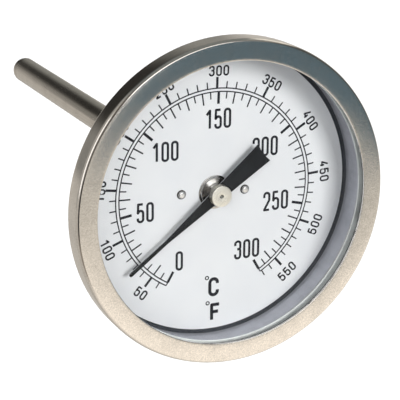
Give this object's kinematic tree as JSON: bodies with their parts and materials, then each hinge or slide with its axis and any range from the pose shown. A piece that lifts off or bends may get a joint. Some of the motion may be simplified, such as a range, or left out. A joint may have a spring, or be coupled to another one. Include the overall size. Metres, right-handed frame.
{
  "type": "dial thermometer",
  "caption": "Bimetal dial thermometer: round steel case with a rolled bezel, flat glass, white dual-scale dial, black pointer, and a straight stem behind a taper-threaded hex fitting.",
  "frame": {"origin": "on the stem axis, at the hex face where the half inch taper pipe thread begins", "axes": "+Y down the stem towards its tip, the dial faces -Y, +Z towards 12 o'clock on the dial"},
  "size_m": [0.08, 0.16, 0.08],
  "materials": {
    "case_steel": "drawn stainless sheet, satin inside",
    "bezel_steel": "fine satin stainless, polished corner",
    "glass": "clear flat window glass",
    "gasket_rubber": "black rubber",
    "ring_aluminium": "satin aluminium",
    "dial_white": "matt white enamel on aluminium",
    "dial_ink": "black printing ink",
    "fibre_washer": "dark fibre",
    "screw_steel": "bright plated steel",
    "brass": "turned brass",
    "bushing_chrome": "polished chrome",
    "fitting_steel": "turned stainless bar",
    "stem_steel": "ground stainless tube",
    "guide_plastic": "white fluoropolymer",
    "bimetal": "rolled two-layer strip",
    "pointer_black": "matt black lacquer",
    "hub_nickel": "turned nickel plate",
    "shaft_steel": "ground wire"
  },
  "bodies": {
    "case": {"case_cup": "case_steel", "bezel_ring": "bezel_steel", "lens": "glass", "lens_gasket": "gasket_rubber", "lens_support_ring": "ring_aluminium", "dial_plate": "dial_white", "dial_washers": "fibre_washer", "dial_screws": "screw_steel", "dial_posts": "brass", "centre_bushing": "bushing_chrome", "front_bearing": "brass", "process_fitting": "fitting_steel", "case_gasket": "gasket_rubber", "lock_washer": "screw_steel", "clamp_nut": "brass", "stem_tube": "stem_steel", "stem_plug": "stem_steel", "shaft_guides": "guide_plastic", "helix_anchor": "brass", "bimetal_helix": "bimetal"},
    "movement": {"pointer_blade": "pointer_black", "pointer_hub": "hub_nickel", "pointer_shaft": "shaft_steel", "helix_collar": "brass"}
  },
  "joints": [
    {"name": "pointer_turn", "type": "hinge", "parent": "case", "child": "movement", "pos_m": [0, -0.013, 0], "axis": [0, 1, 0], "range_deg": [-22.9, 277.5], "stiffness_Nm_per_rad": 0.0002}
  ]
}
